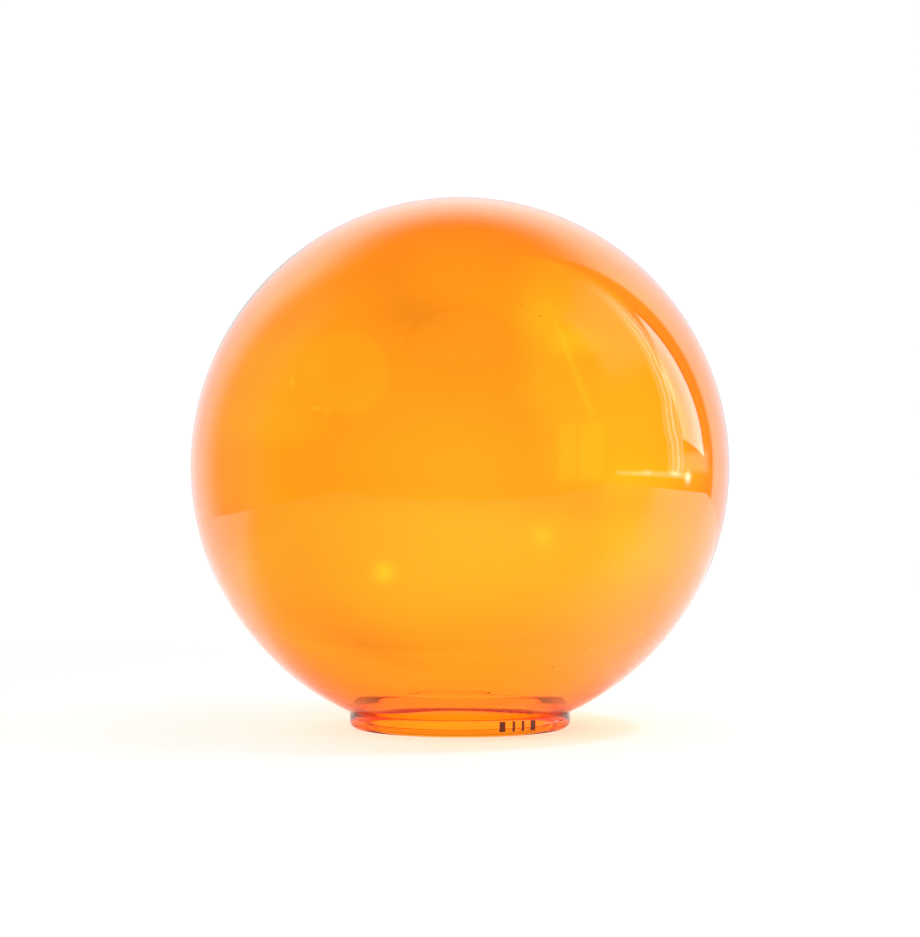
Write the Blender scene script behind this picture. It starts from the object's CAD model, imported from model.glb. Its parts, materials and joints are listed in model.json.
"""The amber glass globe: its ball and collar of glass, its enamel mark, and a plain pale studio round it.

Everything is in metres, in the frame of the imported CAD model: the globe stands on z = 0 and its axis is +Z.
The studio is more than a backdrop, because clear glass shows only what is behind it and what it mirrors:
the world below holds one pattern for the light that comes through, and one for the light that is mirrored.
"""

import json
import math
import random

import bmesh
import bpy
import numpy as np
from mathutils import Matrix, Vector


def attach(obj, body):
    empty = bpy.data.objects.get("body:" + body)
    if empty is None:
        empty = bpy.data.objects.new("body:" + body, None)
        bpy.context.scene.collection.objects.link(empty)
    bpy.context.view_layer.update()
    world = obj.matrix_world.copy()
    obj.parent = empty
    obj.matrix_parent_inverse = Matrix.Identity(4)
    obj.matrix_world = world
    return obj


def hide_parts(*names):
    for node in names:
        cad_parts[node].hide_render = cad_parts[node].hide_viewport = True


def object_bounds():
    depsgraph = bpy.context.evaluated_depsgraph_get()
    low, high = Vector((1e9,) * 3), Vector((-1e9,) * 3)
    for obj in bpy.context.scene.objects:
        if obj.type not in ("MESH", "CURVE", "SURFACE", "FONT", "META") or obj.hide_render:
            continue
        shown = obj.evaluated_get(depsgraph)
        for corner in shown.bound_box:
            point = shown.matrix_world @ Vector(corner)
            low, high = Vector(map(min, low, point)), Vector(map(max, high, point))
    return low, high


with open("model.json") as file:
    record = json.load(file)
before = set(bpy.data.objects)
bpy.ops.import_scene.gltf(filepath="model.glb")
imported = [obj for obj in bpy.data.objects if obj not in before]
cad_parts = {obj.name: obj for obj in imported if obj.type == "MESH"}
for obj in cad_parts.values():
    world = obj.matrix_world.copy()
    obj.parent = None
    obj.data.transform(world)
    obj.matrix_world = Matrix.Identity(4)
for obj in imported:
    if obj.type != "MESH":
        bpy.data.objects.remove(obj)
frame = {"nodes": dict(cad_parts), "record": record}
cad_low, cad_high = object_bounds()
record = frame["record"]
mounts = {m["name"]: m for m in record["mounts"]}
MM = 0.001

# Sizes of the CAD model
BALL_RADIUS = record["size"]["bbox_m"][0] / 2
LIP_RADIUS = mounts["fitter_lip"]["dims"]["r_mm"] * MM
BORE_RADIUS = mounts["mouth"]["dims"]["r_mm"] * MM
TOP = cad_high.z
CENTRE = TOP - BALL_RADIUS
LIP_HEIGHT = CENTRE - math.sqrt(BALL_RADIUS**2 - LIP_RADIUS**2)
WALL = 2.5 * MM
LIP_ROUND = 3.4 * MM
CREASE_ROUND = 0.6 * MM
MOUTH_ROUND = 1.0 * MM
THROAT_ROUND = 4.5 * MM
INNER_RADIUS = BALL_RADIUS - WALL
OVERLAP = 0.03 * MM  # how far the shell's and the collar's glass run into each other at the joint

SEGMENTS = 256  # steps round the axis of everything turned

# Marks of the glassmaker's work
SEEDS = 26  # tiny bubbles in the ball's wall
BLOWN_FROM = 7.5 * MM  # below this height the wall follows its profile exactly
BLOWN_FADE = 12 * MM  # height over which the waviness of the blown ball sets in
OUTER_WAVE = 0.015 * MM
INNER_WAVE = 0.05 * MM
WAVE_LENGTHS = (50 * MM, 150 * MM)
WAVES = 14  # plane waves added up on each face
RING_TOP = 26 * MM  # the tooling rings fade out up to this height
RING_FADE = 12 * MM
RING_PITCH = 4.2 * MM
RING_DEPTH = 0.012 * MM
GROOVE_HEIGHT = 4.4 * MM  # faint groove round the land of the lip
GROOVE_WIDTH = 0.22 * MM
GROOVE_DEPTH = 0.12 * MM

SHADE_RADIUS = 99.5 * MM
rng = random.Random(41)


# ---------------------------------------------------------------- mesh helpers

def arc(centre, radius, start, end, steps):
    """Points (r, z) on an arc; angles in radians from +r towards +z."""
    angles = np.linspace(start, end, steps)
    return [(centre[0] + radius * math.cos(a), centre[1] + radius * math.sin(a)) for a in angles]


def line(a, b, steps):
    return [(a[0] + (b[0] - a[0]) * t, a[1] + (b[1] - a[1]) * t) for t in np.linspace(0, 1, steps)]


def joined(*runs):
    """One profile from several runs of points, without the doubled points where they meet."""
    points = []
    for run in runs:
        for p in run:
            if not points or math.dist(p, points[-1]) > 1e-6:
                points.append(p)
    return points


def lathe(name, profile, closed):
    """A mesh turned about Z. The profile runs so that the glass is on its left; open ends lie on the axis."""
    if closed and math.dist(profile[0], profile[-1]) < 1e-6:
        profile = profile[:-1]
    turns = np.linspace(0, 2 * math.pi, SEGMENTS, endpoint=False)
    verts, rings = [], []
    for r, z in profile:
        if r < 1e-7:
            rings.append([len(verts)])
            verts.append((0.0, 0.0, z))
        else:
            rings.append(list(range(len(verts), len(verts) + SEGMENTS)))
            verts.extend(zip(r * np.cos(turns), r * np.sin(turns), [z] * SEGMENTS))
    faces = []
    pairs = list(zip(rings, rings[1:]))
    if closed:
        pairs.append((rings[-1], rings[0]))
    for low, high in pairs:
        if len(low) == len(high) == 1:
            continue
        for i in range(SEGMENTS):
            j = (i + 1) % SEGMENTS
            if len(low) == 1:
                faces.append((low[0], high[j], high[i]))
            elif len(high) == 1:
                faces.append((low[i], low[j], high[0]))
            else:
                faces.append((low[i], low[j], high[j], high[i]))
    mesh = bpy.data.meshes.new(name)
    mesh.from_pydata(verts, [], faces)
    mesh.validate()
    return mesh


def add_object(name, mesh, material, sharp_degrees=40):
    obj = bpy.data.objects.new(name, mesh)
    bpy.context.scene.collection.objects.link(obj)
    mesh.materials.append(material)
    mesh.polygons.foreach_set("use_smooth", [True] * len(mesh.polygons))
    mesh.set_sharp_from_angle(angle=math.radians(sharp_degrees))
    return obj


def points_of(mesh):
    co = np.empty(len(mesh.vertices) * 3)
    mesh.vertices.foreach_get("co", co)
    return co.reshape(-1, 3)


def set_points(mesh, co):
    mesh.vertices.foreach_set("co", co.ravel())
    mesh.update()


def ripple(points, height):
    """Smooth waviness: a sum of plane waves in seeded directions, about `height` high."""
    shortest, longest = WAVE_LENGTHS
    total = np.zeros(len(points))
    for _ in range(WAVES):
        direction = np.array([rng.gauss(0, 1) for _ in range(3)])
        direction /= np.linalg.norm(direction)
        length = math.exp(rng.uniform(math.log(shortest), math.log(longest)))
        phase = rng.uniform(0, 2 * math.pi)
        total += np.sin(points @ direction * (2 * math.pi / length) + phase) * (length / longest)
    return total * height / math.sqrt(WAVES / 2)


# ---------------------------------------------------------------- node helpers

def new_material(name):
    mat = bpy.data.materials.new(name)
    mat.use_nodes = True
    return mat, mat.node_tree.nodes, mat.node_tree.links, mat.node_tree.nodes["Principled BSDF"]


def math_node(nodes, links, operation, a, b=None):
    """A maths node; each input is a number or another node's output."""
    node = nodes.new("ShaderNodeMath")
    node.operation = operation
    for socket, value in zip(node.inputs, (a, b)):
        if value is None:
            continue
        if isinstance(value, (int, float)):
            socket.default_value = value
        else:
            links.new(value, socket)
    return node.outputs[0]


# ---------------------------------------------------------------- glass shapes

def crease():
    """Centre of the small hollow rounding between the land of the lip and the ball."""
    r = LIP_RADIUS + CREASE_ROUND
    return r, CENTRE - math.sqrt((BALL_RADIUS + CREASE_ROUND) ** 2 - r * r)


def throat():
    """Centre of the rounding where the bore opens into the ball."""
    r = BORE_RADIUS + THROAT_ROUND
    return r, CENTRE - math.sqrt((INNER_RADIUS + THROAT_ROUND) ** 2 - r * r)


def joint_angle(shift):
    """Direction of the joint from the ball's centre; a positive shift, in metres, moves it up the wall."""
    return math.atan2(LIP_HEIGHT - CENTRE, LIP_RADIUS) + shift / BALL_RADIUS


def joint_on_crease(shift):
    """Angle, about the crease's own centre, at which the joint crosses the crease."""
    angle = joint_angle(shift)
    cr, cz = crease()
    along = cr * math.cos(angle) + (cz - CENTRE) * math.sin(angle)
    across = cr * cr + (cz - CENTRE) ** 2 - along * along
    reach = along - math.sqrt(CREASE_ROUND**2 - across)
    return math.atan2(CENTRE + reach * math.sin(angle) - cz, reach * math.cos(angle) - cr)


def shell_profile():
    """The ball's section as two runs: joint to crown outside, and crown to joint inside."""
    cr, cz = crease()
    ball_start = math.atan2(cz - CENTRE, cr)
    crease_run = arc((cr, cz), CREASE_ROUND, joint_on_crease(-OVERLAP), ball_start + math.pi, 8)
    outside = arc((0, CENTRE), BALL_RADIUS, ball_start, math.pi / 2, 300)
    inside = arc((0, CENTRE), INNER_RADIUS, math.pi / 2, joint_angle(-OVERLAP), 290)
    return joined(crease_run, outside), joined(inside, line(inside[-1], crease_run[0], 6))


def collar_profile():
    """The collar's section: from the joint down the throat and bore, round the foot, and up the lip."""
    cr, cz = crease()
    tr, tz = throat()
    inner_end = math.atan2(tz - CENTRE, tr)
    inside = arc((0, CENTRE), INNER_RADIUS, joint_angle(OVERLAP), inner_end, 8)
    throat_run = arc((tr, tz), THROAT_ROUND, inner_end + math.pi, math.pi, 30)
    bore = line((BORE_RADIUS, tz), (BORE_RADIUS, MOUTH_ROUND), 10)
    mouth = arc((BORE_RADIUS + MOUTH_ROUND, MOUTH_ROUND), MOUTH_ROUND, math.pi, 1.5 * math.pi, 12)
    foot = line((BORE_RADIUS + MOUTH_ROUND, 0), (LIP_RADIUS - LIP_ROUND, 0), 8)
    lip = arc((LIP_RADIUS - LIP_ROUND, LIP_ROUND), LIP_ROUND, -0.5 * math.pi, 0, 30)
    land = line((LIP_RADIUS, LIP_ROUND), (LIP_RADIUS, cz), 30)
    crease_run = arc((cr, cz), CREASE_ROUND, math.pi, joint_on_crease(OVERLAP), 6)
    joint = line(crease_run[-1], inside[0], 6)
    return joined(inside, throat_run, bore, mouth, foot, lip, land, crease_run, joint)


def ball_share(points):
    """0 beside the lip and 1 higher up: where the blown ball may be uneven."""
    t = np.clip((points[:, 2] - BLOWN_FROM) / BLOWN_FADE, 0, 1)
    return t * t * (3 - 2 * t)


def tooling_rings(points):
    """Faint rings that the glassmaker's tool leaves round the ball close above the lip."""
    height = points[:, 2]
    fade = np.clip((RING_TOP - height) / RING_FADE, 0, 1)
    return np.sin(height * (2 * math.pi / RING_PITCH)) * fade * RING_DEPTH


def add_seed(mesh):
    """Adds one tiny air bubble inside the wall: a closed ball, drawn out, whose faces look inwards."""
    z = rng.uniform(-0.8, 0.95)
    turn = rng.uniform(0, 2 * math.pi)
    flat = math.sqrt(1 - z * z)
    out = np.array([flat * math.cos(turn), flat * math.sin(turn), z])
    up = np.array([0, 0, 1.0]) - out * z
    up /= np.linalg.norm(up)
    side = np.cross(out, up)
    radius = rng.uniform(0.12, 0.3) * MM
    stretch = rng.uniform(1.1, 2.2)
    middle = np.array([0, 0, CENTRE]) + out * (BALL_RADIUS - WALL * rng.uniform(0.35, 0.65))
    bubble = bmesh.new()
    bmesh.ops.create_uvsphere(bubble, u_segments=16, v_segments=10, radius=radius)
    for v in bubble.verts:
        x, y, w = v.co
        v.co = middle + side * x + out * y + up * (w * stretch)
    bmesh.ops.reverse_faces(bubble, faces=bubble.faces)
    whole = bmesh.new()
    whole.from_mesh(mesh)
    verts = [whole.verts.new(v.co) for v in bubble.verts]
    for face in bubble.faces:
        whole.faces.new([verts[v.index] for v in face.verts])
    whole.to_mesh(mesh)
    whole.free()
    bubble.free()


def make_shell(material):
    """The ball of glass: a turned wall with slight waviness, tooling rings and bubbles."""
    outside, inside = shell_profile()
    outside[-1] = (0.0, TOP)
    inside[0] = (0.0, CENTRE + INNER_RADIUS)
    mesh = lathe("globe_shell_glass", outside + inside, closed=True)
    co = points_of(mesh)
    from_centre = co - np.array([0, 0, CENTRE])
    distance = np.linalg.norm(from_centre, axis=1)
    direction = from_centre / distance[:, None]
    share = ball_share(co)
    inner = distance < BALL_RADIUS - WALL / 2
    outer_waves = ripple(direction * BALL_RADIUS, OUTER_WAVE)
    inner_waves = ripple(direction * BALL_RADIUS, INNER_WAVE)
    push = np.where(inner, inner_waves, outer_waves) + tooling_rings(co) * ~inner
    co += direction * (push * share)[:, None]
    set_points(mesh, co)
    for _ in range(SEEDS):
        add_seed(mesh)
    return add_object("globe_shell_glass", mesh, material)


def make_collar(material):
    """The lip and its throat, turned, with a faint groove round the outside."""
    mesh = lathe("fitter_collar_glass", collar_profile(), closed=True)
    co = points_of(mesh)
    radius = np.hypot(co[:, 0], co[:, 1])
    on_land = radius > LIP_RADIUS - 0.25 * MM
    groove = np.exp(-((co[:, 2] - GROOVE_HEIGHT) / GROOVE_WIDTH) ** 2) * on_land
    co[:, :2] *= (1 - groove * GROOVE_DEPTH / radius)[:, None]
    set_points(mesh, co)
    return add_object("fitter_collar_glass", mesh, material)


# ---------------------------------------------------------------- materials

def noise(nodes, links, scale, detail, stretch=(1, 1, 1)):
    """Noise over the piece's own coordinates, in metres."""
    coord = nodes.new("ShaderNodeTexCoord")
    mapping = nodes.new("ShaderNodeMapping")
    mapping.inputs["Scale"].default_value = stretch
    texture = nodes.new("ShaderNodeTexNoise")
    texture.inputs["Scale"].default_value = scale
    texture.inputs["Detail"].default_value = detail
    links.new(coord.outputs["Object"], mapping.inputs["Vector"])
    links.new(mapping.outputs[0], texture.inputs["Vector"])
    return texture.outputs[0]


def spread_values(nodes, links, value, low, high):
    """The middle of the noise's range stretched over low to high."""
    node = nodes.new("ShaderNodeMapRange")
    links.new(value, node.inputs["Value"])
    node.inputs["From Min"].default_value = 0.3
    node.inputs["From Max"].default_value = 0.7
    node.inputs["To Min"].default_value = low
    node.inputs["To Max"].default_value = high
    return node.outputs["Result"]


def mixed_colour(nodes, links, share, first, second):
    """The first colour where share is 0, the second where it is 1."""
    node = nodes.new("ShaderNodeMix")
    node.data_type = "RGBA"
    node.inputs["A"].default_value = (*first, 1)
    node.inputs["B"].default_value = (*second, 1)
    links.new(share, node.inputs["Factor"])
    return node.outputs["Result"]


def glass_material(name, depth_colour, density, cord, wear):
    """Clear glass coloured through its depth, with faint cords of colour and a little handling wear.

    Absorption per metre is density * (1 - depth_colour) in each channel. `cord` is the tint of the
    deepest cords, and `wear` is the roughness where the surface is most rubbed.
    """
    mat, nodes, links, bsdf = new_material(name)
    cords = spread_values(nodes, links, noise(nodes, links, 26, 3, (1, 1, 3)), 0, 1)
    links.new(mixed_colour(nodes, links, cords, (1.0, 1.0, 1.0), cord), bsdf.inputs["Base Color"])
    rubbed = spread_values(nodes, links, noise(nodes, links, 420, 4), 0, wear)
    links.new(rubbed, bsdf.inputs["Roughness"])
    bsdf.inputs["Transmission Weight"].default_value = 1.0
    bsdf.inputs["IOR"].default_value = 1.5
    volume = nodes.new("ShaderNodeVolumeAbsorption")
    volume.inputs["Color"].default_value = (*depth_colour, 1)
    volume.inputs["Density"].default_value = density
    links.new(volume.outputs[0], nodes["Material Output"].inputs["Volume"])
    return mat


def enamel_material():
    """Fired dark red-brown enamel: uneven in colour, slightly rough and grainy."""
    mat, nodes, links, bsdf = new_material("mark_enamel")
    patches = spread_values(nodes, links, noise(nodes, links, 900, 5), 0, 1)
    colour = mixed_colour(nodes, links, patches, (0.10, 0.022, 0.008), (0.24, 0.06, 0.02))
    links.new(colour, bsdf.inputs["Base Color"])
    links.new(spread_values(nodes, links, patches, 0.3, 0.55), bsdf.inputs["Roughness"])
    bump = nodes.new("ShaderNodeBump")
    bump.inputs["Strength"].default_value = 0.3
    bump.inputs["Distance"].default_value = 0.02 * MM
    links.new(noise(nodes, links, 3000, 4), bump.inputs["Height"])
    links.new(bump.outputs[0], bsdf.inputs["Normal"])
    return mat


amber = glass_material("amber_glass", (0.958, 0.743, 0.014), 1000.0, (1.0, 0.985, 0.96), 0.006)
collar_amber = glass_material("collar_glass", (0.98, 0.743, 0.014), 540.0, (1.0, 0.97, 0.93), 0.03)

shell = make_shell(amber)
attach(shell, "root")
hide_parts("globe_shell")

collar = make_collar(collar_amber)
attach(collar, "root")
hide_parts("fitter_collar")

frame["nodes"]["collar_mark"].data.materials.clear()
frame["nodes"]["collar_mark"].data.materials.append(enamel_material())

# ---------------------------------------------------------------- stage

class Graph:
    """Short names for the maths nodes of one node tree."""

    def __init__(self, tree):
        self.nodes, self.links = tree.nodes, tree.links

    def math(self, operation, a, b=None):
        return math_node(self.nodes, self.links, operation, a, b)

    def add(self, *values):
        """The sum; each value is a number or a node's output."""
        total = values[0]
        for v in values[1:]:
            total = self.math("ADD", total, v)
        return total

    def times(self, *values):
        """The product."""
        total = values[0]
        for v in values[1:]:
            total = self.math("MULTIPLY", total, v)
        return total

    def ramp(self, value, low, high):
        """0 where value is low, 1 where it is high, smooth between; low may be the larger."""
        node = self.nodes.new("ShaderNodeMapRange")
        node.interpolation_type = "SMOOTHSTEP"
        self.links.new(value, node.inputs["Value"])
        node.inputs["From Min"].default_value = low
        node.inputs["From Max"].default_value = high
        return node.outputs["Result"]

    def band(self, value, low, high, soft):
        """1 where value lies between low and high, with soft sides."""
        rise = self.ramp(value, low - soft, low + soft)
        return self.times(rise, self.ramp(value, high + soft, high - soft))

    def blob(self, x, y, x0, y0, width, height, level):
        """A soft spot about (x0, y0)."""
        dx = self.math("POWER", self.math("ABSOLUTE", self.times(self.add(x, -x0), 1 / width)), 2.0)
        dy = self.math("POWER", self.math("ABSOLUTE", self.times(self.add(y, -y0), 1 / height)), 2.0)
        return self.times(self.math("EXPONENT", self.times(self.add(dx, dy), -1.0)), level)

    def tinted(self, value, *layers):
        """A grey value as a colour, multiplied by each (share, tint) layer in turn."""
        colour = self.nodes.new("ShaderNodeCombineXYZ").outputs[0]
        for socket in colour.node.inputs:
            self.links.new(value, socket)
        for share, tint in zip(layers[::2], layers[1::2]):
            mix = self.nodes.new("ShaderNodeMix")
            mix.data_type = "RGBA"
            mix.inputs["A"].default_value = (1, 1, 1, 1)
            mix.inputs["B"].default_value = (*tint, 1)
            self.links.new(share, mix.inputs["Factor"])
            product = self.nodes.new("ShaderNodeVectorMath")
            product.operation = "MULTIPLY"
            self.links.new(colour, product.inputs[0])
            self.links.new(mix.outputs["Result"], product.inputs[1])
            colour = product.outputs[0]
        return colour

    def stroke(self, value, middle, width, level):
        """A soft line where value is at its middle."""
        offset = self.times(self.add(value, -middle), 1 / width)
        return self.times(self.math("EXPONENT", self.times(offset, offset, -1.0)), level)

    def distance(self, x, y):
        return self.math("SQRT", self.add(self.times(x, x), self.times(y, y)))

    def choose(self, switch, off, on):
        """`on` where the switch is 1 and `off` where it is 0."""
        return self.add(self.times(switch, on), self.times(self.math("SUBTRACT", 1.0, switch), off))


def seen_through(g, azimuth, elevation):
    """The backdrop as the amber glass shows it: over-bright, so that only the filtered light has detail.

    The hollow ball is a weak lens that spreads the view behind it. The angles are first drawn together
    again, so that everything below is in degrees as it looks from the camera; the ball's edge is at 5.76.
    """
    spread = g.distance(azimuth, elevation)
    cubed = g.math("POWER", g.times(spread, 1 / 6.74), 3.0)
    together = g.times(g.math("POWER", g.add(cubed, 1.0), -1 / 3), 0.8546)
    a = g.times(azimuth, together)
    e = g.times(elevation, together)
    out = g.distance(a, e)

    # the bright curtained side: its outline is a circle a little right of the ball's middle
    bright_edge = g.distance(g.add(a, -0.5), g.add(e, 0.1))
    within = g.ramp(bright_edge, 4.76, 4.66)
    outside_share = g.add(g.times(g.ramp(e, 4.6, 3.8), 0.42), g.times(g.ramp(e, 2.4, 0.6), 0.33))
    right = g.times(
        g.ramp(g.add(a, g.times(g.ramp(e, 1.8, 0.5), -0.55)), 0.9, 2.1),
        g.ramp(e, -1.0, 0.2),
        g.add(0.42, g.times(g.ramp(a, 2.2, 4.2), 0.5)),
        g.math("MAXIMUM", within, outside_share),
    )
    pane_shade = g.times(g.ramp(bright_edge, 4.25, 4.6), within, g.ramp(e, 0.1, 0.5), g.ramp(a, 3.2, 4.2))

    # the table top's glow, and the dark smear at its lower left
    low = g.times(g.ramp(e, -0.3, -1.2), g.ramp(a, -6.0, -0.5), g.ramp(e, -4.6, -2.2))
    low_right = g.times(g.ramp(e, -0.6, -2.2), g.ramp(a, 1.4, 3.8))
    below_sill = g.times(g.ramp(a, 2.8, 3.8), g.ramp(e, 0.2, -0.3), g.ramp(e, -3.0, -1.4))
    along = g.add(g.times(a, 0.891), g.times(e, -0.453))
    across = g.add(g.times(a, 0.453), g.times(e, 0.891))
    smear = g.blob(along, across, 0.3, -4.45, 1.6, 0.65, -0.42)
    smear_edge = g.times(g.band(along, -2.4, 1.0, 0.9), g.band(across, -4.36, -4.2, 0.08), -0.08)

    # window frame, panes and the pale arc at the left
    leaning = g.add(a, g.times(e, 0.432))
    frame_line = g.times(g.band(leaning, 3.3, 3.42, 0.07), g.band(e, 1.0, 3.1, 0.3))
    panes = g.times(g.band(a, 2.18, 3.15, 0.05), g.band(e, -0.2, 0.93, 0.05))
    mullion = g.times(g.band(a, 2.56, 2.66, 0.05), g.band(e, -0.2, 0.93, 0.05))
    left_arc = g.times(g.ramp(out, 4.75, 4.95), g.ramp(a, -0.3, -1.5))
    left_glow = g.times(g.ramp(out, 3.0, 4.4), g.ramp(a, -1.0, -3.6), g.ramp(e, -1.4, -0.4))
    disc = g.times(g.ramp(g.distance(g.add(a, 2.38), g.add(e, -2.02)), 1.0, 0.72), 0.17)
    scratches = g.add(
        g.blob(a, e, -3.5, 1.79, 0.03, 0.1, 0.5),
        g.blob(a, e, -3.05, 1.26, 0.06, 0.05, 0.5),
        g.blob(a, e, -2.87, 1.2, 0.05, 0.05, 0.4),
    )
    # beyond the ball's edge the backdrop dims, and far to the side it is bright again
    surround = g.add(g.times(g.ramp(spread, 10.0, 20.0), -0.45), g.times(g.ramp(spread, 25.0, 40.0), 0.9))

    return g.add(
        1.52,
        g.times(g.ramp(e, 0.3, 2.0), -0.14),
        g.times(g.ramp(e, 2.6, 4.0), g.ramp(a, -1.5, -0.5), 0.12),
        right,
        g.times(pane_shade, -1.25),
        g.times(low, 0.4),
        g.times(low_right, 0.22),
        g.times(below_sill, 0.5),
        g.times(g.ramp(e, -4.0, -4.6), -0.1),
        g.times(g.ramp(out, 3.9, 4.9), g.ramp(e, -1.5, -2.5), g.ramp(a, -0.5, -2.0), 0.3),
        smear,
        smear_edge,
        g.times(frame_line, 0.28),
        g.times(panes, 0.2),
        g.times(mullion, -0.2),
        g.times(left_arc, 0.12),
        g.times(left_glow, 0.26),
        g.times(g.ramp(a, -2.5, -3.7), g.band(e, 0.6, 2.8, 0.4), 0.27),
        disc,
        scratches,
        surround,
        g.blob(a, e, 1.7, 3.2, 0.55, 0.5, 0.34),
        g.blob(a, e, 2.38, 2.7, 0.42, 0.32, 0.52),
        g.blob(a, e, 2.9, 2.55, 0.3, 0.2, 0.16),
        g.blob(a, e, -0.82, 3.23, 0.75, 0.42, -0.19),
        g.blob(a, e, -1.5, 3.9, 1.4, 0.7, -0.1),
        g.blob(a, e, 0.0, 0.0, 1.5, 0.9, 0.12),
        g.blob(a, e, -1.71, -2.17, 0.2, 0.2, 0.8),
        g.blob(a, e, 1.8, -1.42, 0.26, 0.26, 0.42),
        g.blob(a, e, -4.2, -1.7, 0.6, 0.6, 0.28),
    )


def mirrored_room(g, azimuth, elevation):
    """What the glass mirrors, in true degrees: a dim room, a bright backdrop, and a window with its sill."""
    forward = g.distance(azimuth, elevation)
    backdrop = g.times(
        g.ramp(azimuth, -62.0, -38.0),
        g.ramp(azimuth, 47.0, 43.5),
        g.ramp(elevation, 62.0, 37.0),
        g.add(1.1, g.times(g.ramp(elevation, 12.0, 30.0), 0.3)),
    )
    far_white = g.times(g.ramp(forward, 22.0, 8.0), -0.4)
    left_wall = g.times(g.band(azimuth, -90.0, -50.0, 12.0), g.ramp(elevation, 62.0, 40.0), 0.24)
    upper_right = g.times(
        g.ramp(azimuth, 56.0, 66.0),
        g.ramp(azimuth, 112.0, 98.0),
        g.band(elevation, 30.0, 54.0, 6.0),
    )

    # one tall pane, brightest along its left side; its top and bottom slope
    pane = g.times(
        g.ramp(g.add(azimuth, g.times(elevation, -0.09)), 54.0, 55.0),
        g.ramp(azimuth, 72.5, 70.5),
        g.ramp(g.add(elevation, g.times(azimuth, -0.29)), -14.4, -13.4),
        g.ramp(g.add(elevation, g.times(azimuth, 0.95)), 93.0, 89.0),
        g.add(2.6, g.times(g.ramp(azimuth, 67.0, 57.0), 1.9)),
    )
    under_pane = g.times(g.band(azimuth, 51.0, 76.0, 3.0), g.band(elevation, -1.0, 3.0, 1.0), 0.8)

    # curtain folds: thin uneven bright lines that lean towards the window at the top
    lean = g.times(g.math("MAXIMUM", g.add(elevation, -12.0), 0.0), 0.38)
    wander = g.add(
        g.times(g.math("SINE", g.times(elevation, 0.42)), 0.4),
        g.times(g.math("SINE", g.add(g.times(elevation, 1.1), 1.0)), 0.2),
    )
    fold = g.add(azimuth, lean, wander)
    height = g.times(g.ramp(elevation, -2.0, -1.0), g.ramp(elevation, 54.0, 34.0))
    folds = g.add(
        g.times(g.band(fold, 72.0, 82.0, 1.0), 0.5),
        g.stroke(fold, 82.4, 0.6, 1.0),
        g.stroke(fold, 79.4, 0.8, 2.4),
        g.stroke(fold, 76.0, 0.9, 3.0),
        g.stroke(fold, 72.8, 0.6, 1.3),
    )
    sill = g.add(
        g.times(g.band(azimuth, 66.0, 112.0, 1.5), g.band(elevation, -2.9, -1.5, 0.4), 1.6),
        g.blob(azimuth, elevation, 68.6, -2.6, 1.7, 1.2, 7.0),
        g.blob(azimuth, elevation, 78.0, -1.9, 3.2, 0.6, 4.5),
        g.blob(azimuth, elevation, 95.5, -1.9, 2.4, 0.7, 3.2),
        g.blob(azimuth, elevation, 101.0, -2.4, 3.5, 0.5, 1.2),
    )
    return g.add(
        0.13,
        backdrop,
        far_white,
        left_wall,
        g.times(upper_right, 0.55),
        pane,
        under_pane,
        g.times(height, folds),
        sill,
    )


def build_world():
    """A white studio. What glass mirrors is a dim room with a bright backdrop, a window and its sill."""
    world = bpy.data.worlds.new("studio")
    world.use_nodes = True
    bpy.context.scene.world = world
    g = Graph(world.node_tree)
    g.nodes.clear()
    out = g.nodes.new("ShaderNodeOutputWorld")
    back = g.nodes.new("ShaderNodeBackground")
    back.inputs["Color"].default_value = (1, 1, 1, 1)
    g.links.new(back.outputs[0], out.inputs[0])
    path = g.nodes.new("ShaderNodeLightPath")
    coord = g.nodes.new("ShaderNodeTexCoord")
    split = g.nodes.new("ShaderNodeSeparateXYZ")
    g.links.new(coord.outputs["Generated"], split.inputs[0])
    x, y, z = split.outputs
    azimuth = g.times(g.math("ARCTAN2", x, y), 180 / math.pi)  # 0 at +Y, positive towards +X
    elevation = g.times(g.math("ARCSINE", z), 180 / math.pi)

    behind = seen_through(g, azimuth, elevation)
    room = mirrored_room(g, azimuth, elevation)
    depth = path.outputs["Transmission Depth"]
    mirrored = g.ramp(path.outputs["Glossy Depth"], 0.4, 0.6)
    # the near wall's inner face mirrors the same room; the far wall's mirror image is soft and even
    ahead = g.times(g.ramp(azimuth, -62.0, -25.0), g.ramp(azimuth, 55.0, 25.0), g.ramp(elevation, 62.0, 25.0))
    even = g.add(0.9, g.times(ahead, 1.2))
    room = g.choose(g.ramp(depth, 0.4, 0.6), room, g.add(room, 0.6))
    room = g.choose(g.ramp(depth, 2.4, 2.6), room, even)
    seen = g.choose(mirrored, behind, room)
    lit = g.choose(path.outputs["Is Diffuse Ray"], seen, 0.47)
    final = g.choose(path.outputs["Is Camera Ray"], lit, 1.02)
    g.links.new(final, back.inputs["Strength"])


FLOOR_HALF = 3.0
TABLE_X, TABLE_Y = (-0.47, 0.9), (-0.44, 0.6)  # the mirrored table's sides
LIGHT_TILT = 26.0  # degrees from straight overhead, towards +X
LIGHT_TURN = -8.0  # degrees, from +X towards +Y
LIGHT_DISTANCE = 2.4


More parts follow.
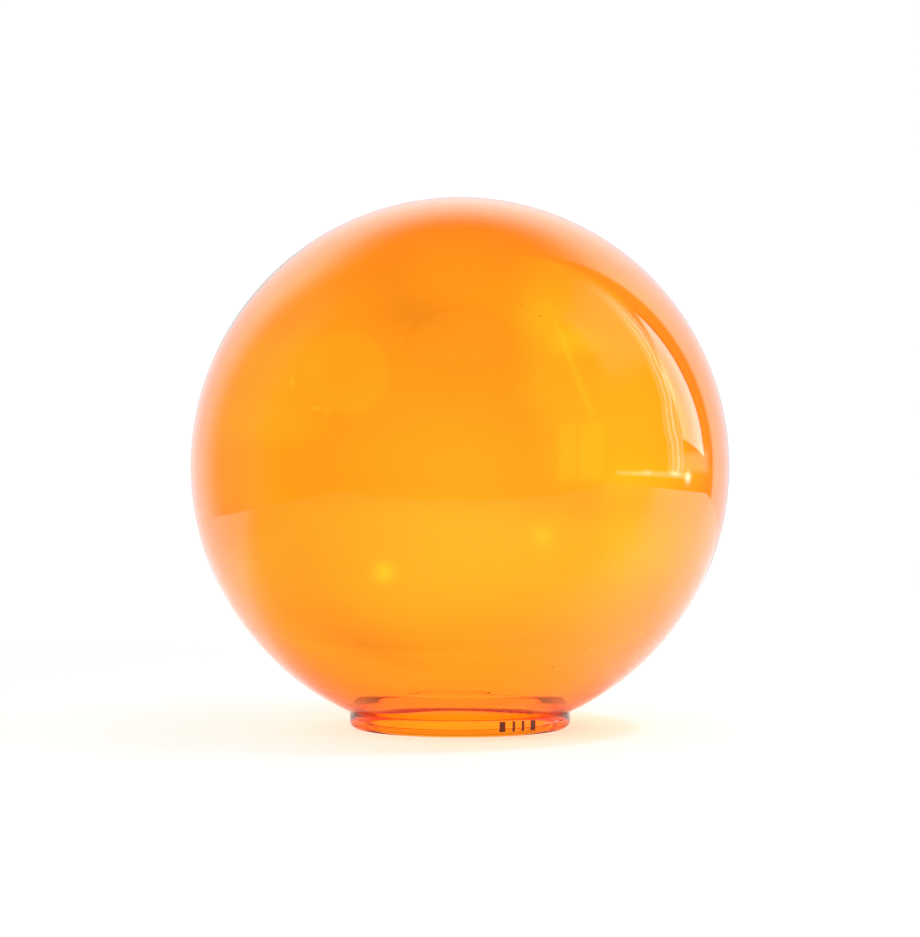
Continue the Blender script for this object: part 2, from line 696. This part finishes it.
def build_floor():
    """A pale table top that fades into the white studio; in mirrors it is a plain white table with edges."""
    mesh = bpy.data.meshes.new("floor")
    s = FLOOR_HALF
    mesh.from_pydata([(-s, -s, 0), (s, -s, 0), (s, s, 0), (-s, s, 0)], [], [(0, 1, 2, 3)])
    mat = bpy.data.materials.new("floor")
    mat.use_nodes = True
    g = Graph(mat.node_tree)
    g.nodes.clear()
    out = g.nodes.new("ShaderNodeOutputMaterial")
    diffuse = g.nodes.new("ShaderNodeBsdfDiffuse")
    clear = g.nodes.new("ShaderNodeBsdfTransparent")
    mix = g.nodes.new("ShaderNodeMixShader")
    path = g.nodes.new("ShaderNodeLightPath")
    coord = g.nodes.new("ShaderNodeTexCoord")
    split = g.nodes.new("ShaderNodeSeparateXYZ")
    g.links.new(coord.outputs["Object"], split.inputs[0])
    x, y, _ = split.outputs
    away = g.distance(x, y)
    faded = g.ramp(away, 0.42, 0.8)
    table = g.times(g.band(x, *TABLE_X, 0.004), g.band(y, *TABLE_Y, 0.004))
    inside = g.ramp(path.outputs["Transmission Depth"], 0.4, 0.6)
    camera = path.outputs["Is Camera Ray"]
    through_glass = path.outputs["Is Transmission Ray"]
    glossy = g.times(path.outputs["Is Glossy Ray"], g.math("SUBTRACT", 1.0, through_glass))
    front_right = g.times(g.ramp(x, 0.0, 0.1), g.ramp(y, -0.14, -0.03))
    brighter = g.math("MAXIMUM", g.ramp(y, -0.045, 0.045), front_right)
    top = g.add(0.36, g.times(brighter, 0.9), g.times(g.ramp(y, -0.01, 0.04), 0.16))
    value = g.add(
        g.times(camera, 0.97),
        g.times(path.outputs["Is Diffuse Ray"], 0.8),
        g.times(glossy, g.choose(inside, top, 0.95)),
        g.times(through_glass, 1.7),
    )
    # under and close round the globe the table is lit through amber glass
    under = g.times(g.ramp(away, 0.046, 0.041), g.math("SUBTRACT", 1.0, camera))
    under = g.times(under, g.math("SUBTRACT", 1.0, g.times(glossy, 0.8)))
    contact = g.times(g.ramp(away, 0.062, 0.04), g.add(0.3, g.times(g.ramp(x, -0.03, 0.03), 0.7)), camera)
    colour = g.tinted(value, under, (1.0, 0.42, 0.08), contact, (0.99, 0.88, 0.88))
    g.links.new(colour, diffuse.inputs["Color"])
    edges = g.choose(inside, g.math("SUBTRACT", 1.0, table), faded)
    seen = g.choose(through_glass, faded, g.ramp(away, 0.13, 0.34))
    g.links.new(g.choose(glossy, seen, edges), mix.inputs[0])
    g.links.new(diffuse.outputs[0], mix.inputs[1])
    g.links.new(clear.outputs[0], mix.inputs[2])
    g.links.new(mix.outputs[0], out.inputs[0])
    obj = bpy.data.objects.new("floor", mesh)
    mesh.materials.append(mat)
    bpy.context.scene.collection.objects.link(obj)
    obj.location.z = -0.05 * MM


def build_light():
    """The broad soft light over the globe's right shoulder, which lays the shadow to the left."""
    light = bpy.data.lights.new("softbox", "AREA")
    light.shape = "DISK"
    light.size = 0.42
    light.energy = 37.0
    tilt = math.radians(LIGHT_TILT)
    obj = bpy.data.objects.new("softbox", light)
    turn = math.radians(LIGHT_TURN)
    reach = LIGHT_DISTANCE * math.sin(tilt)
    height = CENTRE + LIGHT_DISTANCE * math.cos(tilt)
    obj.location = (reach * math.cos(turn), reach * math.sin(turn), height)
    obj.rotation_euler = (0, tilt, turn)
    obj.visible_camera = False
    obj.visible_glossy = False
    obj.visible_transmission = False
    bpy.context.scene.collection.objects.link(obj)


def build_shade():
    """Lets the softbox's light through the globe as amber light; only light rays meet it."""
    bottom, crown = (0.0, CENTRE - SHADE_RADIUS), (0.0, CENTRE + SHADE_RADIUS)
    ball = arc((0, CENTRE), SHADE_RADIUS, -1.55, 1.55, 60)
    mesh = lathe("amber_shade", [bottom] + ball + [crown], closed=False)
    mat = bpy.data.materials.new("amber_shade")
    mat.use_nodes = True
    g = Graph(mat.node_tree)
    g.nodes.clear()
    out = g.nodes.new("ShaderNodeOutputMaterial")
    clear = g.nodes.new("ShaderNodeBsdfTransparent")
    facing = g.nodes.new("ShaderNodeLayerWeight")
    facing.inputs["Blend"].default_value = 0.5
    coord = g.nodes.new("ShaderNodeTexCoord")
    split = g.nodes.new("ShaderNodeSeparateXYZ")
    g.links.new(coord.outputs["Object"], split.inputs[0])
    x, _, z = split.outputs
    # offset across the light's direction; the side whose shadow falls far out on the table is tinted less
    tilt = math.radians(LIGHT_TILT)
    offset = g.add(g.times(x, math.cos(tilt)), g.times(g.add(z, -CENTRE), -math.sin(tilt)))
    near = g.times(g.ramp(offset, -0.03, 0.045), g.add(0.75, g.times(facing.outputs["Facing"], 0.25)))
    ends = g.ramp(offset, -0.1, -0.05)
    tint = g.nodes.new("ShaderNodeMix")
    tint.data_type = "RGBA"
    tint.inputs["A"].default_value = (0.975, 0.962, 0.948, 1)
    tint.inputs["B"].default_value = (0.985, 0.888, 0.785, 1)
    g.links.new(near, tint.inputs["Factor"])
    fade = g.nodes.new("ShaderNodeMix")
    fade.data_type = "RGBA"
    fade.inputs["A"].default_value = (1, 1, 1, 1)
    g.links.new(ends, fade.inputs["Factor"])
    g.links.new(tint.outputs["Result"], fade.inputs["B"])
    g.links.new(fade.outputs["Result"], clear.inputs["Color"])
    g.links.new(clear.outputs[0], out.inputs[0])
    obj = add_object("amber_shade", mesh, mat)
    obj.visible_camera = obj.visible_diffuse = obj.visible_glossy = False
    obj.visible_transmission = obj.visible_volume_scatter = False


CAMERA_DISTANCE = 1.0
CAMERA_DROP = 0.78 * MM  # how far the camera looks from below the ball's centre
CAMERA_LENS = 102.95  # millimetres, on a 36 mm sensor


def build_camera():
    """Level with the ball's middle and square to the front."""
    cam = bpy.data.cameras.new("camera")
    cam.sensor_width = 36.0
    cam.lens = CAMERA_LENS
    obj = bpy.data.objects.new("camera", cam)
    obj.location = (0, -CAMERA_DISTANCE, CENTRE - CAMERA_DROP)
    obj.rotation_euler = (math.pi / 2, 0, 0)
    bpy.context.scene.collection.objects.link(obj)
    bpy.context.scene.camera = obj


build_world()
build_floor()
build_light()
build_shade()
build_camera()
for piece in (shell, collar):  # the stage's shade throws the glass's shadow
    piece.visible_shadow = False

scene = bpy.context.scene
scene.view_settings.view_transform = "Standard"
scene.cycles.max_bounces = 32
scene.cycles.transmission_bounces = 24
scene.cycles.glossy_bounces = 16
scene.cycles.transparent_max_bounces = 24
scene.cycles.sample_clamp_indirect = 10.0
scene.cycles.use_denoising = True
